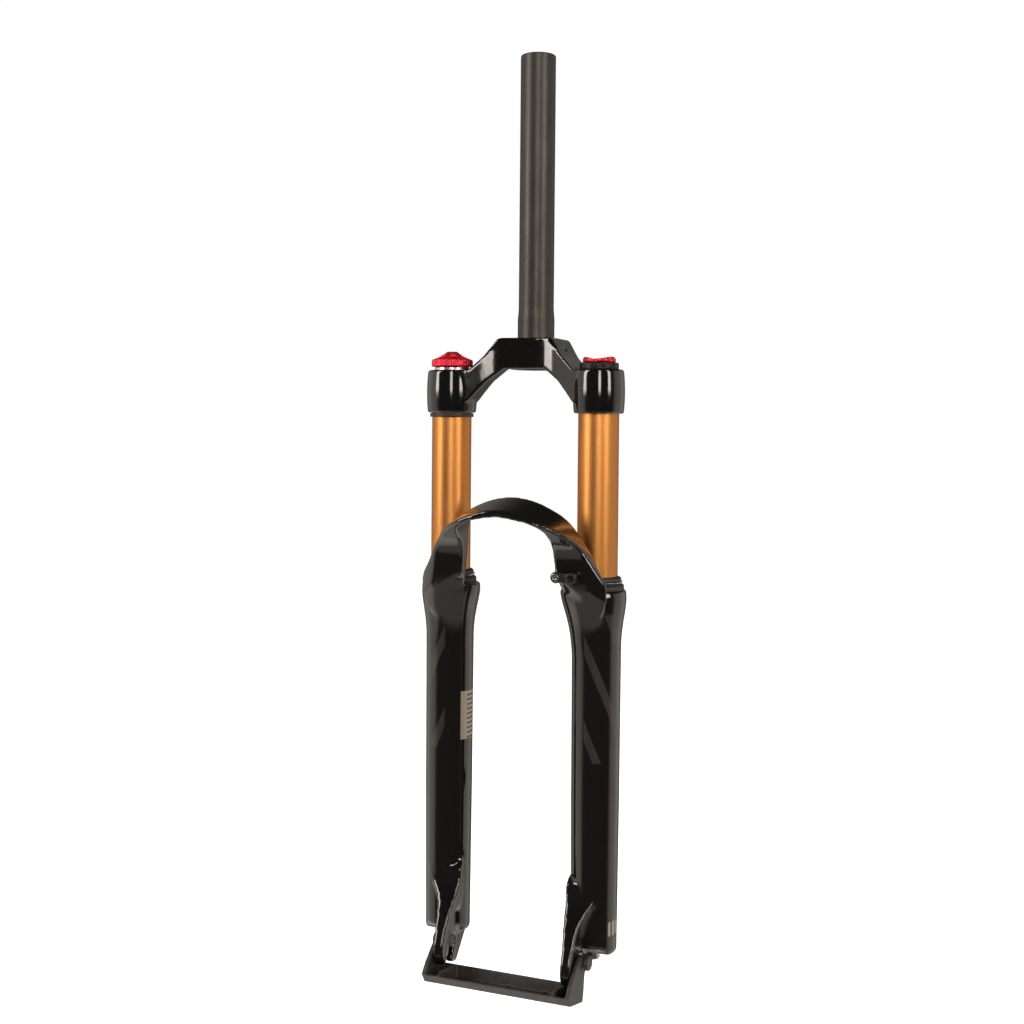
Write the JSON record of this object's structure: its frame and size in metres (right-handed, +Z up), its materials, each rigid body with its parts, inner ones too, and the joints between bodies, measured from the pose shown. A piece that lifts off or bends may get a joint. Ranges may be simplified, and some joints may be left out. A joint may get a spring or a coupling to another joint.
{
  "type": "suspension fork",
  "caption": "Bicycle air suspension fork with a straight steerer, gold stanchions, sliding lowers with a forward arch, lockout dial, disc brake posts and a dropout spacer.",
  "frame": {"origin": "on the steering axis at the lower shoulder of the crown race seat, which is the crown's top face", "axes": "+Z up the steerer, -Y to the front of the bicycle, +X to the rider's left (air leg and disc side)"},
  "size_m": [0.1714, 0.1149, 0.7452],
  "materials": {
    "steerer_black": "satin black anodised",
    "crown_black": "gloss black paint on a forging",
    "casting_black": "gloss black paint on a magnesium casting",
    "stanchion_gold": "gold anodised, polished",
    "dial_red": "red anodised",
    "cap_red": "red anodised",
    "cap_silver": "machined, clear anodised",
    "cap_black": "black anodised",
    "alloy": "machined",
    "steel": "bright",
    "brass": "turned",
    "bronze": "sintered bronze with PTFE face",
    "seal_rubber": "moulded",
    "foam": "open cell foam",
    "delrin": "turned acetal",
    "spacer_plastic": "moulded polypropylene"
  },
  "bodies": {
    "upper_assembly": {"steerer_tube": "steerer_black", "crown": "crown_black", "damper_stanchion": "stanchion_gold", "air_stanchion": "stanchion_gold", "damper_top_cap": "cap_silver", "air_top_cap": "cap_black", "top_cap_o_rings": "seal_rubber", "air_valve_stem": "brass", "valve_core": "brass", "damper_cartridge_tube": "alloy", "compression_base_valve": "alloy", "cartridge_head": "alloy", "air_seal_head": "alloy", "seal_head_circlip": "steel", "top_out_bumper": "seal_rubber", "sag_o_ring": "seal_rubber"},
    "lockout_dial": {"lockout_dial": "dial_red", "dial_grub_screw": "steel", "lockout_shaft": "alloy"},
    "air_valve_cap": {"air_valve_cap": "cap_red"},
    "valve_core_pin": {"valve_core_pin": "brass"},
    "dropout_spacer": {"dropout_spacer": "spacer_plastic"},
    "lower_assembly": {"lower_casting": "casting_black", "damper_rod": "steel", "rebound_piston": "delrin", "air_rod": "steel", "air_piston": "delrin", "air_piston_seal": "seal_rubber", "bottom_out_bumper": "seal_rubber", "foot_bolts": "steel", "crush_washers": "alloy", "hose_guide": "delrin", "hose_guide_screw": "steel", "damper_dust_wiper": "seal_rubber", "damper_garter_spring": "steel", "damper_foam_ring": "foam", "damper_upper_bushing": "bronze", "damper_lower_bushing": "bronze", "air_dust_wiper": "seal_rubber", "air_garter_spring": "steel", "air_foam_ring": "foam", "air_upper_bushing": "bronze", "air_lower_bushing": "bronze"}
  },
  "joints": [
    {"name": "suspension_travel", "type": "slide", "parent": "upper_assembly", "child": "lower_assembly", "axis": [0, 0, 1], "range_m": [0, 0.1], "stiffness_N_per_m": 9000, "springref_m": -0.02},
    {"name": "lockout_dial_turn", "type": "hinge", "parent": "upper_assembly", "child": "lockout_dial", "pos_m": [-0.0625, -0.027, -0.0172], "axis": [0, 0, -1], "range_deg": [0, 90]},
    {"name": "valve_cap_lift", "type": "slide", "parent": "upper_assembly", "child": "air_valve_cap", "axis": [0, 0, 1], "range_m": [0, 0.025]},
    {"name": "valve_pin_press", "type": "slide", "parent": "upper_assembly", "child": "valve_core_pin", "axis": [0, 0, -1], "range_m": [0, 0.0015], "stiffness_N_per_m": 1500, "springref_m": -0.0005},
    {"name": "spacer_pull", "type": "slide", "parent": "lower_assembly", "child": "dropout_spacer", "axis": [0, -0.274, -0.9617], "range_m": [0, 0.045]}
  ]
}
